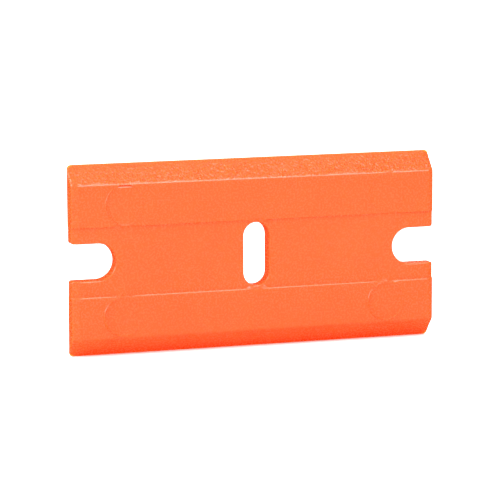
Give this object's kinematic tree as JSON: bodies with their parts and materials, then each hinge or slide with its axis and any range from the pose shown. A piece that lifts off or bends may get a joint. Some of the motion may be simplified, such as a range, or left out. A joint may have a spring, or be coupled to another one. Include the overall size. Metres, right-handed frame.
{
  "type": "algae scraper blade",
  "caption": "Flat plastic scraper blade with a bevelled edge along both long sides, a sunk channel, a centre slot and a round-ended notch in each end.",
  "frame": {"origin": "middle of the bounding box, which is on the axis of the centre slot and half way through the blade's thickness", "axes": "+X along the blade, +Z across it from one scraping edge to the other, -Y out of its bevelled front, +Y out of its flat back"},
  "size_m": [0.0382, 0.002, 0.019],
  "materials": {
    "blade_plastic": "satin, slightly translucent orange moulded plastic, rough on the upper bevel"
  },
  "bodies": {
    "root": {"scraper_blade": "blade_plastic"}
  },
  "joints": []
}
